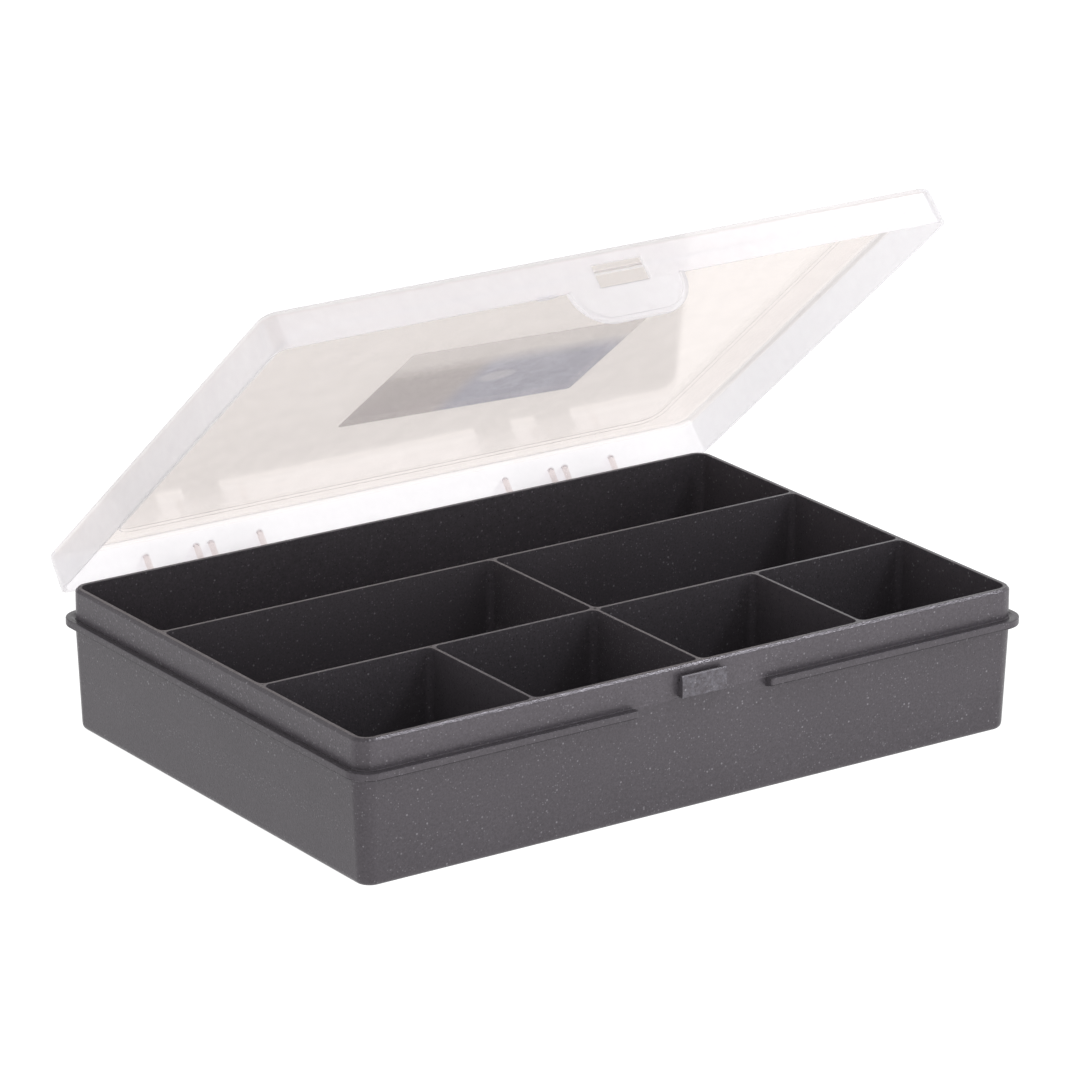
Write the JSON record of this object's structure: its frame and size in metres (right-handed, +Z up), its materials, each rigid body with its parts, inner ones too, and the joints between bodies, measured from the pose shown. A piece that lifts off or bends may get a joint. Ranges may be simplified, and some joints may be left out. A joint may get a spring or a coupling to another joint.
{
  "type": "parts_organizer",
  "caption": "Parts organizer: a divided dark plastic tray with a hinged clear lid, shown part open, and a flexing front latch.",
  "frame": {"origin": "centre of the tray's footprint, on the surface it stands on", "axes": "+X along the length, -Y towards the latch, +Z up"},
  "size_m": [0.29, 0.2139, 0.1916],
  "materials": {
    "dark_plastic": "moulded plastic with fine light flecks, softly textured",
    "frosted_plastic": "translucent milky plastic with a fine frosted grain",
    "clear_plastic": "translucent plastic, smooth and glossy, clearer than the skirt",
    "label_card": "printed paper sticker, no text"
  },
  "bodies": {
    "tray": {"tray_shell": "dark_plastic", "rim_ledge": "dark_plastic", "rear_divider": "dark_plastic", "front_divider": "dark_plastic", "middle_cross_divider": "dark_plastic", "front_cross_divider_left": "dark_plastic", "front_cross_divider_centre": "dark_plastic", "front_cross_divider_right": "dark_plastic", "catch": "dark_plastic", "hinge_hook_left_inner": "dark_plastic", "hinge_hook_left_outer": "dark_plastic", "hinge_hook_right_inner": "dark_plastic", "hinge_hook_right_outer": "dark_plastic"},
    "lid": {"lid_panel": "clear_plastic", "lid_skirt": "frosted_plastic", "lid_hinge_loop_left_inner": "frosted_plastic", "lid_hinge_loop_left_outer": "frosted_plastic", "lid_hinge_loop_right_inner": "frosted_plastic", "lid_hinge_loop_right_outer": "frosted_plastic", "label": "label_card"},
    "latch": {"latch_tongue": "frosted_plastic"}
  },
  "joints": [
    {"name": "lid_hinge", "type": "hinge", "parent": "tray", "child": "lid", "pos_m": [0, 0.1095, 0.0457], "axis": [-1, 0, 0], "range_deg": [-41, 139]},
    {"name": "latch_flex", "type": "hinge", "parent": "lid", "child": "latch", "pos_m": [0, -0.0433, 0.1891], "axis": [-1, 0, 0], "range_deg": [0, 12], "stiffness_Nm_per_rad": 0.5}
  ]
}
